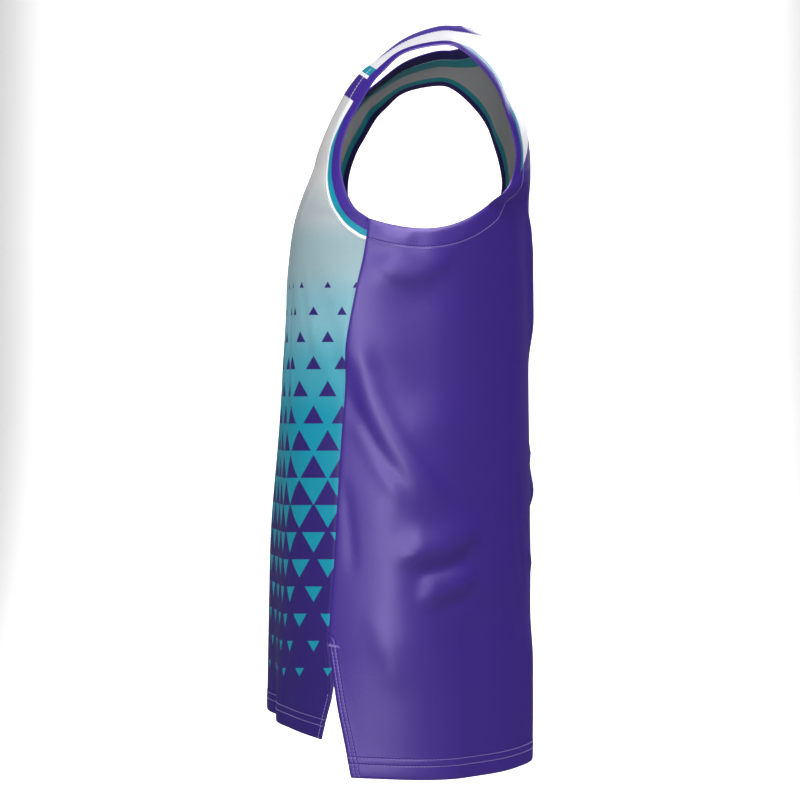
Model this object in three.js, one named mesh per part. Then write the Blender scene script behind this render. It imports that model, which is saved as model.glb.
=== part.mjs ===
// A sleeveless basketball jersey, filled out to the form in which it is worn, with nobody in it.
// Millimetres, +Z up, the front faces -Y and the wearer's left is +X.
// The origin is midway between the two straps, level with the top of each strap's middle.
//
// The cloth is a loft. Each section is a curve from the centre line, or the neck seam, out to
// the side seam, or the armhole edge. Its two ends and one knee between them shape it. Sections
// run from the front hem up the chest, over the shoulder and down to the back hem. Folds are
// then pushed out of or into that surface, and the cloth wall is built on its inner side.
import * as THREE from "three";

// Cloth and trim sizes
const WALL = 2;
const SEAM_GAP = 0.3;
const BAND_WIDTH = 14;
const BAND_PROUD = 0.3;
const BAND_ROUND = 1.2;
const BAND_DROP = 10;
const BAND_DROP_FROM = 0.3;
const BAND_LIFT = 3.4;
const TAPE_WIDTH = 12;
const TAPE_THICKNESS = 0.9;
const TAPE_CLEARANCE = 0.4;
const TAPE_STAND_OFF = 1.4;

// Heights of the edges that the panels end at
const FRONT_HEM = -692.5;
const BACK_HEM = -727;
const VENT_TOP = -600;
const UNDERARM = -189;

// The torso's plan at each height: how far it reaches to the front, back and side, and where
// the front panel's and the back panel's side edges lie. The two edges part at the vent.
// The last column says how far out the front turns into the side, from 0 to 1.
const TORSO = [
  { z: -727, front: -173, back: 92.5, half: 219, frontEdge: -121, backEdge: -89, frontSquare: 0.8 },
  { z: -692, front: -172, back: 93, half: 218, frontEdge: -118.5, backEdge: -96, frontSquare: 0.8 },
  { z: -656, front: -171.5, back: 93, half: 217, frontEdge: -110, backEdge: -103.5, frontSquare: 0.82 },
  { z: -640, front: -171.2, back: 93, half: 216.8, frontEdge: -107, backEdge: -105.8, frontSquare: 0.83 },
  { z: -625, front: -171, back: 93, half: 216.5, frontEdge: -108.7, backEdge: -108, frontSquare: 0.84 },
  { z: -600, front: -170.5, back: 93, half: 216, frontEdge: -111.5, backEdge: -111.5, frontSquare: 0.86 },
  { z: -520, front: -169, back: 93.5, half: 214, frontEdge: -106, backEdge: -106, frontSquare: 0.92 },
  { z: -430, front: -167, back: 92.5, half: 212, frontEdge: -101, backEdge: -101, frontSquare: 1 },
  { z: -350, front: -165, back: 91.5, half: 210, frontEdge: -95, backEdge: -95, frontSquare: 1 },
  { z: -300, front: -162, back: 91.5, half: 210, frontEdge: -91, backEdge: -91, frontSquare: 1 },
  { z: -250, front: -159, back: 91.5, half: 211, frontEdge: -82, backEdge: -82, frontSquare: 1 },
  { z: -202, front: -155.5, back: 91.5, half: 212, frontEdge: -74, backEdge: -74, frontSquare: 1 },
  { z: -172, front: -150, back: 92, half: 210, frontEdge: -71, backEdge: -71, frontSquare: 1 },
  { z: -150, front: -143, back: 92.5, half: 208, frontEdge: -71, backEdge: -71, frontSquare: 1 },
];
const TORSO_SQUARENESS = 2.6;
const REAR_LINE = 45;
const KNEE_PULL = 0.72;
const HEM_RISE = 7;
const HEM_FADE = 70;
const KNEE_SHARE = 0.6;

// How much the sections curve up from the seam towards the centre just below the armhole
const FAN_FADE = 90;
const FAN = { frontCentre: 17, rear: 15, backCentre: 31, sideDip: -24 };

// Sections above the underarm, on the wearer's left: end at the centre or neck seam, knee,
// and end on the armhole edge. The neck seam begins where the first end leaves the centre.
const CHEST = [
  { neck: [0, -145.5, -160], knee: [176, -149, -169], arm: [202, -84.5, -180] },
  { neck: [0, -140.5, -147], knee: [168, -144, -156], arm: [194, -92, -168] },
  { neck: [0, -135.5, -136], knee: [158, -138, -142], arm: [183, -98, -151] },
  { neck: [0, -131.5, -126], knee: [146, -133, -130], arm: [174, -101, -133] },
  { neck: [36, -127, -116], knee: [138, -127, -110], arm: [167, -99, -112] },
  { neck: [62, -117.5, -97], knee: [133, -119, -88], arm: [162, -91, -89] },
  { neck: [80, -107, -74], knee: [131, -108, -68], arm: [160, -82, -73] },
  { neck: [91, -94, -51], knee: [130, -94, -46], arm: [160, -71, -54] },
  { neck: [97.5, -73, -28], knee: [131, -76, -28], arm: [160, -61, -42] },
];
const SHOULDER = [
  { neck: [101, -39, -4.5], knee: [132, -41, -11], arm: [160, -38, -22] },
  { neck: [102, -4, 7], knee: [133, -2, -2], arm: [160, 0, -14] },
  { neck: [98, 19, 7], knee: [131, 23, -5], arm: [160, 20, -20] },
  { neck: [80, 35, 7], knee: [125, 46, -15], arm: [159.5, 42.5, -41] },
  { neck: [46, 46, 9], knee: [112, 60, -21], arm: [158.5, 56, -61] },
  { neck: [0, 51.5, 11.5], knee: [95, 69, -25], arm: [159, 63.5, -82] },
];
const UPPER_BACK = [
  { neck: [0, 69, -19], knee: [112, 84, -55], arm: [162, 69.5, -103] },
  { neck: [0, 82, -56], knee: [124, 91, -91], arm: [167, 72.6, -125] },
  { neck: [0, 89.5, -91], knee: [140, 94, -122], arm: [174, 68.5, -147] },
  { neck: [0, 92, -125], knee: [163, 93.5, -149], arm: [182, 59.5, -162] },
];
const FRONT_NECK_START = 3;
const BACK_NECK_END = 5;

// Folds. Each runs from one point to another on the side, front or back as seen square on,
// bows by `bow` at its middle, and is `width` wide and `height` high, or deep when negative.
// On the side the first number of a point is y, on the front and back it is x.
const FOLDS = [
  { on: "left", from: [-76, -216], to: [14, -208], bow: -31, width: 13, height: 4.5 },
  { on: "left", from: [-86, -282], to: [30, -484], bow: -25, width: 16, height: 7 },
  { on: "left", from: [-96, -312], to: [-22, -462], bow: -19, width: 11, height: -4 },
  { on: "left", from: [-46, -494], to: [38, -462], bow: -14, width: 13, height: 6 },
  { on: "left", from: [-30, -522], to: [32, -511], bow: -5, width: 9, height: -3.5 },
  { on: "left", from: [-30, -546], to: [34, -520], bow: -6, width: 11, height: 4.5 },
  { on: "left", from: [9, -545], to: [4, -860], bow: 3, width: 32, height: 5 },
  { on: "left", from: [80, -555], to: [4, -625], bow: -6, width: 22, height: -4 },
  { on: "left", from: [-34, -226], to: [-16, -400], bow: 0, width: 34, height: -4.5 },
  { on: "left", from: [-148, -234], to: [-96, -366], bow: -4, width: 12, height: 3.5 },
  { on: "right", from: [-74, -220], to: [20, -210], bow: -28, width: 13, height: 4.5 },
  { on: "right", from: [-80, -290], to: [30, -474], bow: -14, width: 17, height: 6 },
  { on: "right", from: [-96, -330], to: [-26, -466], bow: -8, width: 12, height: -4 },
  { on: "right", from: [-46, -505], to: [40, -470], bow: -12, width: 12, height: 5 },
  { on: "right", from: [-34, -532], to: [36, -520], bow: -5, width: 9, height: -3.5 },
  { on: "right", from: [4, -560], to: [8, -860], bow: -3, width: 32, height: 4.5 },
  { on: "right", from: [78, -570], to: [0, -650], bow: -5, width: 24, height: -4 },
  { on: "right", from: [-146, -230], to: [-98, -372], bow: -4, width: 12, height: 3.5 },
  { on: "front", from: [0, -96], to: [0, -250], bow: 0, width: 46, height: -5 },
  { on: "front", from: [92, -236], to: [112, -400], bow: 8, width: 14, height: -2.5 },
  { on: "front", from: [-86, -250], to: [-104, -420], bow: -6, width: 14, height: -3 },
  { on: "front", from: [0, -330], to: [0, -1000], bow: 3, width: 44, height: 9 },
  { on: "front", from: [54, -600], to: [58, -1000], bow: 2, width: 17, height: -8 },
  { on: "front", from: [94, -560], to: [104, -1000], bow: 3, width: 22, height: 4 },
  { on: "front", from: [-56, -590], to: [-62, -1000], bow: -3, width: 19, height: -7 },
  { on: "front", from: [-98, -550], to: [-110, -1000], bow: -3, width: 22, height: 4 },
  { on: "back", from: [0, -60], to: [0, -240], bow: 0, width: 40, height: -3 },
  { on: "back", from: [96, -170], to: [40, -330], bow: -10, width: 20, height: 3.5 },
  { on: "back", from: [-100, -160], to: [-46, -340], bow: 12, width: 22, height: 3.5 },
  { on: "back", from: [-62, -455], to: [70, -440], bow: -16, width: 15, height: 1.8 },
  { on: "back", from: [-52, -486], to: [58, -478], bow: -14, width: 14, height: -3.5 },
  { on: "back", from: [-84, -540], to: [-96, -790], bow: 5, width: 34, height: -3 },
  { on: "back", from: [98, -560], to: [104, -790], bow: -6, width: 36, height: 5 },
];
const FOLD_END_SHARE = 0.3;
const FOLD_SAMPLES = 12;

// How finely the sections are cut
const CELLS = {
  panelAcross: 11,
  sideAcross: 10,
  seamUp: 26,
  frontVentUp: 4,
  backVentUp: 6,
};
const STEPS_PER_SECTION = 1.2;
const CURVE_SAMPLES = 48;
const PASTE = 1e-3;

const PURPLE = 0x36237a;
const TEAL = 0x0a94a8;

const mixed = (a, b, share) => a + (b - a) * share;

// The value at `x` of a smooth curve through the points (xs, ys)
function smooth(xs, ys, x) {
  const last = xs.length - 1;
  const i = Math.min(Math.max(xs.findIndex((v) => v > x) - 1, 0), last - 1);
  const at = x >= xs[last] ? last - 1 : i;
  const slope = (j) => {
    const low = Math.max(j - 1, 0);
    const high = Math.min(j + 1, last);
    return (ys[high] - ys[low]) / (xs[high] - xs[low]);
  };
  const span = xs[at + 1] - xs[at];
  const t = Math.min(Math.max((x - xs[at]) / span, 0), 1);
  const t2 = t * t;
  const t3 = t2 * t;
  return (
    (2 * t3 - 3 * t2 + 1) * ys[at] +
    (t3 - 2 * t2 + t) * span * slope(at) +
    (3 * t2 - 2 * t3) * ys[at + 1] +
    (t3 - t2) * span * slope(at + 1)
  );
}

const torsoHeights = TORSO.map((row) => row.z);
const torso = (column, z) => smooth(torsoHeights, TORSO.map((row) => row[column]), z);

// A point of the torso's rounded-square plan at depth `y`, with the direction of the outline
function onTorso(y, z) {
  const middle = (torso("front", z) + torso("back", z)) / 2;
  const reach = (torso("back", z) - torso("front", z)) / 2;
  const half = torso("half", z);
  const part = Math.abs(y - middle) / reach;
  const x = half * (1 - part ** TORSO_SQUARENESS) ** (1 / TORSO_SQUARENESS);
  const across = (x / half) ** (TORSO_SQUARENESS - 1) / half;
  const along = (Math.sign(y - middle) * part ** (TORSO_SQUARENESS - 1)) / reach;
  return { x, y, slope: -along / across };
}

// Where the outline's tangent at a point reaches the depth `y`
const tangentAt = (point, y) => point.x + point.slope * (y - point.y);

// How strongly the sections fan at height `z` of the side seam
const fan = (z) => Math.exp(-(UNDERARM - z) / FAN_FADE);

// The seam's depth; below the vent's top the front panel's edge leaves it
const frontEdge = (z) => torso(z < VENT_TOP ? "frontEdge" : "backEdge", z);

function frontSection(z) {
  const seam = onTorso(frontEdge(z), z);
  const rise = HEM_RISE * Math.exp((FRONT_HEM - z) / HEM_FADE);
  const centreZ = z + FAN.frontCentre * fan(z) + rise;
  const kneeZ = mixed(z, centreZ, KNEE_SHARE);
  const front = torso("front", kneeZ);
  return {
    neck: [0, torso("front", centreZ), centreZ],
    knee: [tangentAt(seam, front) * torso("frontSquare", z), front, kneeZ],
    arm: [seam.x, seam.y, z],
  };
}

function sideSection(z) {
  const seam = onTorso(torso("backEdge", z), z);
  const rearZ = z + FAN.rear * fan(z);
  const rear = onTorso(REAR_LINE, rearZ);
  const y = (rear.x - seam.x + seam.slope * seam.y - rear.slope * rear.y) / (seam.slope - rear.slope);
  return {
    neck: [seam.x, seam.y, z],
    knee: [tangentAt(seam, y), y, z + FAN.sideDip * fan(z)],
    arm: [rear.x, rear.y, rearZ],
  };
}

function backSection(z) {
  const rearZ = z + FAN.rear * fan(z);
  const rear = onTorso(REAR_LINE, rearZ);
  const centreZ = z + FAN.backCentre * fan(z);
  const kneeZ = mixed(rearZ, centreZ, KNEE_SHARE);
  const back = torso("back", kneeZ);
  return {
    neck: [0, torso("back", centreZ), centreZ],
    knee: [tangentAt(rear, back), back, kneeZ],
    arm: [rear.x, rear.y, rearZ],
  };
}

const vector = (list) => new THREE.Vector3(...list);

// The curve of one section, from its neck or centre end to its armhole or seam end
function curveOf(section) {
  const [start, knee, end] = ["neck", "knee", "arm"].map((key) => vector(section[key]));
  return new THREE.CubicBezierCurve3(
    start,
    start.clone().lerp(knee, KNEE_PULL),
    end.clone().lerp(knee, KNEE_PULL),
    end,
  );
}

// Points along a section at even lengths
function pointsAcross(section, cells) {
  const curve = curveOf(section);
  curve.arcLengthDivisions = CURVE_SAMPLES;
  return Array.from({ length: cells + 1 }, (_, i) => curve.getPointAt(i / cells));
}

// The heights of the side seam's rows, from a hem up to the underarm
function seamHeights(hem, ventCells) {
  const vent = Array.from({ length: ventCells }, (_, i) => mixed(hem, VENT_TOP, i / ventCells));
  const seam = Array.from({ length: CELLS.seamUp + 1 }, (_, i) =>
    mixed(VENT_TOP, UNDERARM, i / CELLS.seamUp),
  );
  return [...vent, ...seam];
}

// Smooth in-between sections of a list of sections. The ends turn a corner where the neck seam
// leaves the centre line and where the armhole begins, so each side is smoothed by itself.
function between(sections, place, corners) {
  const value = (key, axis) => {
    const corner = corners[key] ?? 0;
    const [low, high] = place < corner ? [0, corner] : [corner, sections.length - 1];
    const places = Array.from({ length: high - low + 1 }, (_, i) => low + i);
    return smooth(places, places.map((i) => sections[i][key][axis]), place);
  };
  const point = (key) => [0, 1, 2].map((axis) => value(key, axis));
  return { neck: point("neck"), knee: point("knee"), arm: point("arm") };
}

const frontHeights = seamHeights(FRONT_HEM, CELLS.frontVentUp);
const backHeights = seamHeights(BACK_HEM, CELLS.backVentUp);
const lowerBack = backHeights.map(backSection);
const lowerFront = frontHeights.map(frontSection);
const wholeFront = [...lowerFront, ...CHEST, ...SHOULDER];
const wholeBack = [...lowerBack, ...[...UPPER_BACK].reverse(), ...[...SHOULDER].reverse(), CHEST.at(-1)];
const frontCorners = { neck: lowerFront.length + FRONT_NECK_START, arm: lowerFront.length - 1 };
const shoulderSeamOnFront = lowerFront.length + CHEST.length - 1;
const backCorners = { neck: lowerBack.length + UPPER_BACK.length, arm: lowerBack.length - 1 };
const shoulderSeamOnBack = wholeBack.length - 1;

// The places along a list of sections that become rows: each lower section, then more above
function rowPlaces(lowerCount, end) {
  const steps = Math.round((end - lowerCount + 1) * STEPS_PER_SECTION);
  const upper = Array.from({ length: steps }, (_, i) => mixed(lowerCount - 1, end, (i + 1) / steps));
  return [...Array.from({ length: lowerCount }, (_, i) => i), ...upper];
}

// Rows of points for a block of cloth on one side of the body
function blockRows(sections, places, corners, cells, side) {
  return places.map((place) => {
    const row = pointsAcross(between(sections, place, corners), cells);
    return row.map((p) => new THREE.Vector3(p.x * side, p.y, p.z));
  });
}

// Moves the row place nearest to a corner onto it, so that the corner is a real row
function withCorner(places, corner) {
  const nearest = places.reduce((a, b) => (Math.abs(b - corner) < Math.abs(a - corner) ? b : a));
  return places.map((place) => (place === nearest ? corner : place));
}

const frontPlaces = withCorner(rowPlaces(lowerFront.length, shoulderSeamOnFront), frontCorners.neck);
const backPlaces = withCorner(rowPlaces(lowerBack.length, shoulderSeamOnBack), backCorners.neck);

function frontBlock(side) {
  return blockRows(wholeFront, frontPlaces, frontCorners, CELLS.panelAcross, side);
}

function backBlock(side) {
  return blockRows(wholeBack, backPlaces, backCorners, CELLS.panelAcross, side);
}

function sideBlock(side) {
  const sections = backHeights.map(sideSection);
  return blockRows(sections, sections.map((_, i) => i), {}, CELLS.sideAcross, side);
}

const keyOf = (point) => point.toArray().map((v) => Math.round(v / PASTE)).join();

// Cloth as welded points and four-sided faces that look outwards, each of a named panel
class Cloth {
  constructor() {
    this.points = [];
    this.faces = [];
    this.found = new Map();
  }

  index(point) {
    const key = keyOf(point);
    if (!this.found.has(key)) {
      this.found.set(key, this.points.length);
      this.points.push(point.clone());
    }
    return this.found.get(key);
  }

  add(rows, flip, panel) {
    for (let r = 0; r + 1 < rows.length; r += 1) {
      for (let c = 0; c + 1 < rows[r].length; c += 1) {
        const face = [rows[r][c], rows[r][c + 1], rows[r + 1][c + 1], rows[r + 1][c]];
        const ids = face.map((point) => this.index(point));
        this.faces.push({ ids: flip ? ids.reverse() : ids, panel });
      }
    }
  }

  normals() {
    const sums = this.points.map(() => new THREE.Vector3());
    for (const { ids } of this.faces) {
      const [a, b, c, d] = ids.map((i) => this.points[i]);
      const across = c.clone().sub(a).cross(d.clone().sub(b));
      ids.forEach((i) => sums[i].add(across));
    }
    return sums.map((sum) => sum.normalize());
  }
}

// A panel's edges with none of its cloth beyond them, each running the way its face does
function rimOf(faces) {
  const edges = new Map();
  for (const { ids } of faces) {
    ids.forEach((from, i) => {
      const to = ids[(i + 1) % ids.length];
      edges.set(`${from},${to}`, [from, to]);
    });
  }
  return [...edges.values()].filter(([from, to]) => !edges.has(`${to},${from}`));
}

// The view in which a fold is drawn: its two axes and how much cloth that faces it takes part
const VIEWS = {
  left: { flat: (p) => [p.y, p.z], facing: (n) => n.x },
  right: { flat: (p) => [p.y, p.z], facing: (n) => -n.x },
  front: { flat: (p) => [p.x, p.z], facing: (n) => -n.y },
  back: { flat: (p) => [p.x, p.z], facing: (n) => n.y },
};

// A fold's line as short straight pieces, each with its share of the whole length at its start
function foldLine({ from, to, bow }) {
  const length = Math.hypot(to[0] - from[0], to[1] - from[1]);
  const aside = [-(to[1] - from[1]) / length, (to[0] - from[0]) / length];
  return Array.from({ length: FOLD_SAMPLES + 1 }, (_, i) => {
    const share = i / FOLD_SAMPLES;
    const out = bow * 4 * share * (1 - share);
    return [0, 1].map((axis) => mixed(from[axis], to[axis], share) + aside[axis] * out);
  });
}

function foldHeight(fold, line, place) {
  let nearest = { distance: Infinity, share: 0 };
  for (let i = 0; i < FOLD_SAMPLES; i += 1) {
    const [a, b] = [line[i], line[i + 1]];
    const step = [b[0] - a[0], b[1] - a[1]];
    const along = ((place[0] - a[0]) * step[0] + (place[1] - a[1]) * step[1]) / (step[0] ** 2 + step[1] ** 2);
    const t = Math.min(Math.max(along, 0), 1);
    const distance = Math.hypot(place[0] - a[0] - step[0] * t, place[1] - a[1] - step[1] * t);
    if (distance < nearest.distance) nearest = { distance, share: (i + t) / FOLD_SAMPLES };
  }
  const toEnd = Math.min(nearest.share, 1 - nearest.share) / FOLD_END_SHARE;
  const taper = Math.sin((Math.min(toEnd, 1) * Math.PI) / 2) ** 2;
  return fold.height * taper * Math.exp(-((nearest.distance / fold.width) ** 2));
}

const foldLines = FOLDS.map(foldLine);

function pushFolds(cloth) {
  const normals = cloth.normals();
  cloth.points.forEach((point, i) => {
    const push = FOLDS.reduce((sum, fold, j) => {
      const view = VIEWS[fold.on];
      const facing = Math.max(view.facing(normals[i]), 0) ** 2;
      return facing > 0 ? sum + facing * foldHeight(fold, foldLines[j], view.flat(point)) : sum;
    }, 0);
    point.addScaledVector(normals[i], push);
  });
}

function solidOf(points, triangles) {
  const geometry = new THREE.BufferGeometry();
  geometry.setAttribute("position", new THREE.Float32BufferAttribute(points.flatMap((p) => p.toArray()), 3));
  geometry.setIndex(triangles.flat());
  geometry.computeVertexNormals();
  return geometry;
}

const split = ([a, b, c, d]) => [[a, b, c], [a, c, d]];

// A panel's wall of cloth: its outer points, the same points moved in by the wall, and its
// rims, which are drawn back by half the gap of a seam
function wallOf(cloth, panel) {
  const faces = cloth.faces.filter((face) => face.panel === panel);
  const rim = rimOf(faces);
  const normals = cloth.normals();
  const drawn = new Map();
  for (const [from, to] of rim) {
    const edge = cloth.points[to].clone().sub(cloth.points[from]).normalize();
    for (const i of [from, to]) {
      if (!drawn.has(i)) drawn.set(i, new THREE.Vector3());
      drawn.get(i).add(normals[i].clone().cross(edge));
    }
  }
  const used = [...new Set(faces.flatMap(({ ids }) => ids))];
  const place = new Map(used.map((id, i) => [id, i]));
  const count = used.length;
  const outer = used.map((id) => {
    const point = cloth.points[id].clone();
    return drawn.has(id) ? point.addScaledVector(drawn.get(id).normalize(), SEAM_GAP / 2) : point;
  });
  const inner = outer.map((point, i) => point.clone().addScaledVector(normals[used[i]], -WALL));
  const triangles = faces.flatMap(({ ids }) => {
    const skin = split(ids.map((id) => place.get(id)));
    return [...skin, ...skin.map((t) => t.map((i) => i + count).reverse())];
  });
  for (const edge of rim) {
    const [from, to] = edge.map((id) => place.get(id));
    triangles.push(...split([to, from, from + count, to + count]));
  }
  return solidOf([...outer, ...inner], triangles);
}

function named(name, geometry, color, roughness) {
  const mesh = new THREE.Mesh(geometry, new THREE.MeshStandardMaterial({ color, roughness, metalness: 0 }));
  mesh.name = name;
  return mesh;
}

function wholeCloth() {
  const cloth = new Cloth();
  cloth.add(frontBlock(1), false, "front");
  cloth.add(frontBlock(-1), true, "front");
  cloth.add(backBlock(1), true, "back");
  cloth.add(backBlock(-1), false, "back");
  cloth.add(sideBlock(1), false, "back");
  cloth.add(sideBlock(-1), true, "back");
  return cloth;
}

// The neck seam's points in order: up the left front, round the back, down the right front
function neckSeam(cloth) {
  const half = (side) => [
    ...frontBlock(side).slice(frontPlaces.indexOf(frontCorners.neck)),
    ...backBlock(side).slice(backPlaces.indexOf(backCorners.neck), -1).reverse(),
  ];
  const points = [...half(1), ...half(-1).slice(1, -1).reverse()].map((row) => row[0]);
  return points.map((point) => cloth.found.get(keyOf(point)));
}

// A trim swept round the neck. Each corner of its section is [towards the neck, outwards].
// Where the cloth faces up, the trim's neck edge is lifted out of its plane, and where it
// faces backwards that edge drops in.
function neckTrim(ring, section) {
  const count = ring.length;
  const size = section.length;
  const points = ring.flatMap(({ point, normal }, i) => {
    const along = ring[(i + 1) % count].point.clone().sub(ring[(i + count - 1) % count].point);
    const inwards = normal.clone().cross(along).normalize();
    return section.map(([reach, out]) => {
      const share = Math.max(reach / BAND_WIDTH, 0);
      const drop = BAND_DROP * Math.max(normal.y - BAND_DROP_FROM, 0) * share;
      const lift = BAND_LIFT * Math.max(normal.z, 0) * share;
      return point.clone().addScaledVector(inwards, reach).addScaledVector(normal, out + lift - drop);
    });
  });
  const triangles = [];
  for (let i = 0; i < count; i += 1) {
    const next = (i + 1) % count;
    for (let k = 0; k < size; k += 1) {
      const k2 = (k + 1) % size;
      triangles.push(...split([i * size + k2, next * size + k2, next * size + k, i * size + k]));
    }
  }
  return solidOf(points, triangles);
}

const cloth = wholeCloth();
const seam = neckSeam(cloth);
pushFolds(cloth);
const clothNormals = cloth.normals();
const ring = seam.map((i) => ({ point: cloth.points[i], normal: clothNormals[i] }));

const bandInside = -WALL - BAND_PROUD;
const BAND_SECTION = [
  [SEAM_GAP / 2, BAND_PROUD],
  [SEAM_GAP / 2, bandInside],
  [BAND_WIDTH - BAND_ROUND, bandInside],
  [BAND_WIDTH, -WALL / 2],
  [BAND_WIDTH - BAND_ROUND, BAND_PROUD],
];
const tapeOutside = -WALL - TAPE_CLEARANCE;
const TAPE_SECTION = [
  [-SEAM_GAP, tapeOutside],
  [-TAPE_WIDTH, tapeOutside - TAPE_STAND_OFF],
  [-TAPE_WIDTH, tapeOutside - TAPE_STAND_OFF - TAPE_THICKNESS],
  [-SEAM_GAP, tapeOutside - TAPE_THICKNESS],
];

const jersey = new THREE.Group();
jersey.add(
  named("front_panel", wallOf(cloth, "front"), TEAL, 0.55),
  named("back_panel", wallOf(cloth, "back"), PURPLE, 0.55),
  named("neckband", neckTrim(ring, BAND_SECTION), PURPLE, 0.6),
  named("neck_tape", neckTrim(ring, TAPE_SECTION), TEAL, 0.7),
);
export default jersey;
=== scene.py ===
"""A basketball jersey, filled out as worn: printed cloth shells, neckband, tape and stitching.

The cloth is the same loft as the solids: sections from the centre line or the neck seam out to
the side seam or the armhole edge, cut more finely here, with more folds. Lengths in the tables
are millimetres, with +Z up, the front towards -Y and the wearer's left towards +X.
"""

import math

import bpy
import numpy as np
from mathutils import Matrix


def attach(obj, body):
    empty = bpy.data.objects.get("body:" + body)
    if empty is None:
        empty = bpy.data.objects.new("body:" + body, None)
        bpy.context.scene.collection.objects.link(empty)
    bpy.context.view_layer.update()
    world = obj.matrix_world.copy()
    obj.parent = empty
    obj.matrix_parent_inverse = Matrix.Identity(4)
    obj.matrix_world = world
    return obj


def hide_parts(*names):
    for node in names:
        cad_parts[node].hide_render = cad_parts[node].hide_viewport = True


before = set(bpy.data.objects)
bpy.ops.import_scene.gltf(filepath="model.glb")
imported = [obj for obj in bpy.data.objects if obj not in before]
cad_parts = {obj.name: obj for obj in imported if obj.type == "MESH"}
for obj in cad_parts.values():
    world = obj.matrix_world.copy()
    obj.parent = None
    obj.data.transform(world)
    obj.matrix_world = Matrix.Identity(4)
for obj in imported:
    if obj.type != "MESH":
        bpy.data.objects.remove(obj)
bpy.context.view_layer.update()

MM = 0.001
ROOT = "root"

# Cloth and trim sizes
WALL = 1.6
SEAM_GAP = 0.02
SEAM_SINK = 0.45
RIM_ROUND = 0.7
BAND_WIDTH = 14
BAND_PUFF = 0.8
BAND_DROP = 10
BAND_DROP_FROM = 0.3
BAND_LIFT = 3.4
TAPE_WIDTH = 12
TAPE_THICKNESS = 0.9
TAPE_CLEARANCE = 0.4
TAPE_STAND_OFF = 1.4

# The torso's plan at each height
TORSO_COLUMNS = ("z", "front", "back", "half", "front_edge", "back_edge", "front_square")
TORSO = np.array([
    (-727, -173, 92.5, 219, -121, -89, 0.8),
    (-692, -172, 93, 218, -118.5, -96, 0.8),
    (-656, -171.5, 93, 217, -110, -103.5, 0.82),
    (-640, -171.2, 93, 216.8, -107, -105.8, 0.83),
    (-625, -171, 93, 216.5, -108.7, -108, 0.84),
    (-600, -170.5, 93, 216, -111.5, -111.5, 0.86),
    (-520, -169, 93.5, 214, -106, -106, 0.92),
    (-430, -167, 92.5, 212, -101, -101, 1),
    (-350, -165, 91.5, 210, -95, -95, 1),
    (-300, -162, 91.5, 210, -91, -91, 1),
    (-250, -159, 91.5, 211, -82, -82, 1),
    (-202, -155.5, 91.5, 212, -74, -74, 1),
    (-172, -150, 92, 210, -71, -71, 1),
    (-150, -143, 92.5, 208, -71, -71, 1),
])
TORSO_SQUARENESS = 2.6
REAR_LINE = 45
KNEE_PULL = 0.72
FRONT_HEM = -692.5
BACK_HEM = -727
VENT_TOP = -600
UNDERARM = -189
HEM_RISE = 7
HEM_FADE = 70
KNEE_SHARE = 0.6
FAN_FADE = 90
FAN_FRONT_CENTRE = 17
FAN_REAR = 15
FAN_BACK_CENTRE = 31
FAN_SIDE_DIP = -24

# Sections above the underarm: centre or neck end, knee, armhole end
CHEST = [
    ((0, -145.5, -160), (176, -149, -169), (202, -84.5, -180)),
    ((0, -140.5, -147), (168, -144, -156), (194, -92, -168)),
    ((0, -135.5, -136), (158, -138, -142), (183, -98, -151)),
    ((0, -131.5, -126), (146, -133, -130), (174, -101, -133)),
    ((36, -127, -116), (138, -127, -110), (167, -99, -112)),
    ((62, -117.5, -97), (133, -119, -88), (162, -91, -89)),
    ((80, -107, -74), (131, -108, -68), (160, -82, -73)),
    ((91, -94, -51), (130, -94, -46), (160, -71, -54)),
    ((97.5, -73, -28), (131, -76, -28), (160, -61, -42)),
]
SHOULDER = [
    ((101, -39, -4.5), (132, -41, -11), (160, -38, -22)),
    ((102, -4, 7), (133, -2, -2), (160, 0, -14)),
    ((98, 19, 7), (131, 23, -5), (160, 20, -20)),
    ((80, 35, 7), (125, 46, -15), (159.5, 42.5, -41)),
    ((46, 46, 9), (112, 60, -21), (158.5, 56, -61)),
    ((0, 51.5, 11.5), (95, 69, -25), (159, 63.5, -82)),
]
UPPER_BACK = [
    ((0, 69, -19), (112, 84, -55), (162, 69.5, -103)),
    ((0, 82, -56), (124, 91, -91), (167, 72.6, -125)),
    ((0, 89.5, -91), (140, 94, -122), (174, 68.5, -147)),
    ((0, 92, -125), (163, 93.5, -149), (182, 59.5, -162)),
]
FRONT_NECK_START = 3

# How the solids divide the side seam, and how much finer the cloth is here
SEAM_ROWS = 26
FRONT_VENT_ROWS = 4
BACK_VENT_ROWS = 6
HEM_STEPS = 9
LOWER_STEPS = 3
UPPER_STEPS = 6
PANEL_CELLS = 64
SIDE_CELLS = 44
CURVE_SAMPLES = 160
PASTE = 1e-3

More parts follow.
